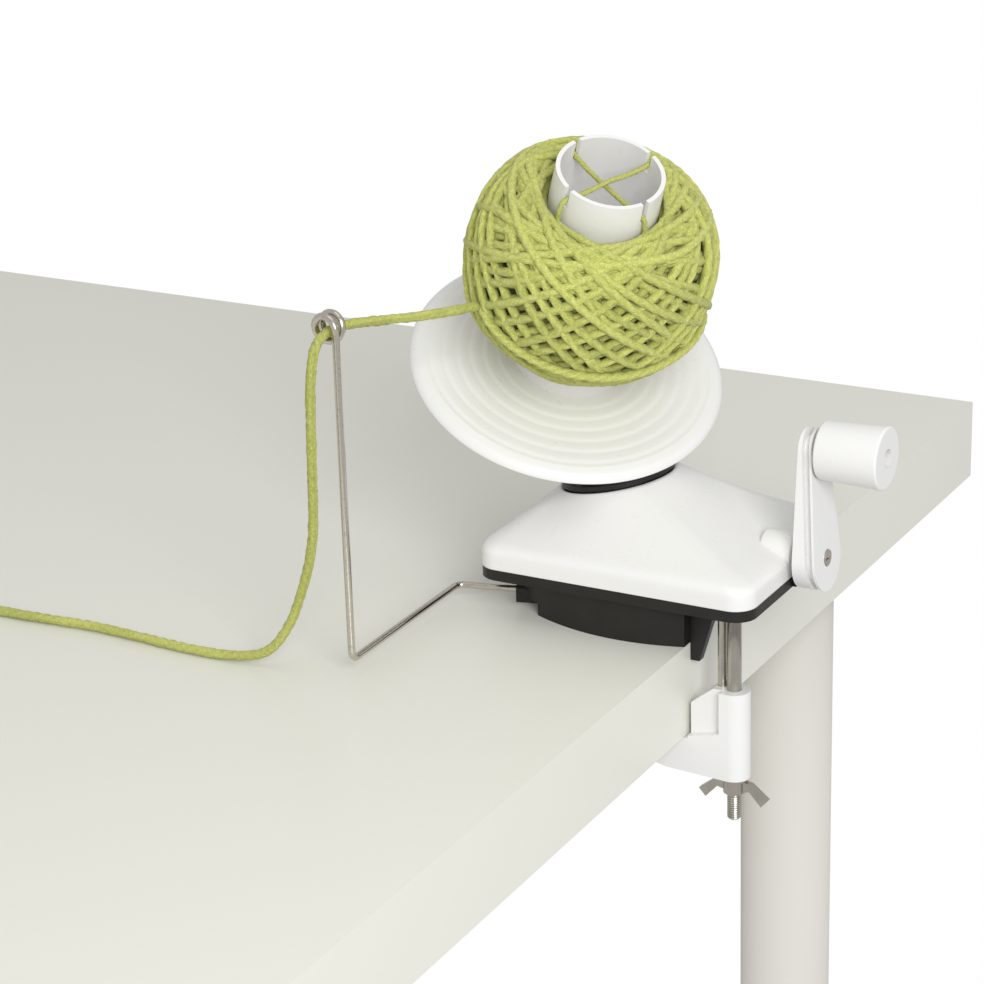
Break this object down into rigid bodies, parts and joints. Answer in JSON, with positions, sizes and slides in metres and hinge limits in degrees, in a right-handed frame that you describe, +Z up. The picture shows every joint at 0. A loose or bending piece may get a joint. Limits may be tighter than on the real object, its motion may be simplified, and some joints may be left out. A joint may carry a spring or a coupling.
{
  "type": "yarn winder",
  "caption": "Hand-cranked yarn cone winder: geared tilting spool with saucer and cone, table clamp, swinging wire guide, yarn wound on.",
  "frame": {"origin": "centre of the foot's flat face on the table top", "axes": "+Z up, +X out over the table edge towards the crank, +Y along the edge away from the wire guide"},
  "size_m": [0.3672, 0.2177, 0.2766],
  "materials": {
    "black_plastic": "satin moulded",
    "foot_rubber": "matte",
    "jaw_rubber": "matte",
    "white_plastic": "gloss moulded",
    "gear_plastic": "plain moulded",
    "bush_plastic": "plain moulded",
    "bright_steel": "zinc plated",
    "wire_chrome": "bright nickel",
    "plain_steel": "turned",
    "yarn": "twisted wool yarn, matte"
  },
  "bodies": {
    "base": {"base_pan": "black_plastic", "foot_pad": "foot_rubber", "top_cover": "white_plastic", "cover_screws": "plain_steel", "crank_bush": "bush_plastic", "inner_bush": "bush_plastic", "clamp_rod": "bright_steel", "guide_pin": "bright_steel", "rotor_post": "plain_steel", "thrust_washer": "bush_plastic", "sun_gear": "gear_plastic", "post_screw": "plain_steel"},
    "crank": {"crank_gear": "gear_plastic", "crank_shaft": "plain_steel", "shaft_collar": "plain_steel", "crank_arm": "white_plastic", "crank_screw": "bright_steel", "grip_pin": "bright_steel"},
    "grip": {"handle_grip": "white_plastic"},
    "rotor": {"rotor_pinion": "gear_plastic", "rotor_sleeve": "gear_plastic", "rotor_carrier": "black_plastic", "spindle": "plain_steel", "spindle_washer": "plain_steel", "spindle_clip": "plain_steel", "carrier_washer": "bush_plastic"},
    "spool": {"saucer": "white_plastic", "ring_gear": "gear_plastic", "winding_cone": "white_plastic", "cone_web": "white_plastic", "yarn_cake": "yarn", "yarn_start": "yarn"},
    "jaw": {"clamp_jaw": "white_plastic", "jaw_pad": "jaw_rubber", "jaw_washer": "bright_steel"},
    "wing_nut": {"wing_nut": "bright_steel"},
    "guide": {"wire_guide": "wire_chrome", "guide_clip": "plain_steel", "yarn_tail": "yarn", "yarn_feed": "yarn"}
  },
  "joints": [
    {"name": "rotor_turn", "type": "hinge", "parent": "base", "child": "rotor", "pos_m": [-0.015, 0, 0.0534], "axis": [-0.2011, 0, 0.9796], "continuous": true, "deforming": ["yarn_feed"]},
    {"name": "crank_turn", "type": "hinge", "parent": "base", "child": "crank", "pos_m": [0.0665, 0, 0.0315], "axis": [1, 0, 0], "continuous": true},
    {"name": "spool_turn", "type": "hinge", "parent": "rotor", "child": "spool", "pos_m": [-0.0306, 0, 0.12942], "axis": [0.362, -0.3141, 0.8777], "continuous": true},
    {"name": "grip_turn", "type": "hinge", "parent": "crank", "child": "grip", "pos_m": [0.09, 0, 0.0782], "axis": [1, 0, 0], "continuous": true},
    {"name": "jaw_slide", "type": "slide", "parent": "base", "child": "jaw", "axis": [0, 0, 1], "range_m": [-0.01001, 0.01501]},
    {"name": "wing_nut_turn", "type": "hinge", "parent": "jaw", "child": "wing_nut", "pos_m": [0.055, -0.037, -0.06], "axis": [0, 0, 1], "range_deg": [-3600, 5400]},
    {"name": "guide_swing", "type": "hinge", "parent": "base", "child": "guide", "pos_m": [-0.0485, -0.032, 0.0077], "axis": [-0.9739, -0.2269, 0], "range_deg": [-3, 20], "deforming": ["yarn_tail"]}
  ],
  "couplings": [
    {"joint": "crank_turn", "follows": "rotor_turn", "ratio": 0.5},
    {"joint": "spool_turn", "follows": "rotor_turn", "ratio": -0.31579},
    {"joint": "jaw_slide", "follows": "wing_nut_turn", "m_per_rad": 0.00015915}
  ]
}
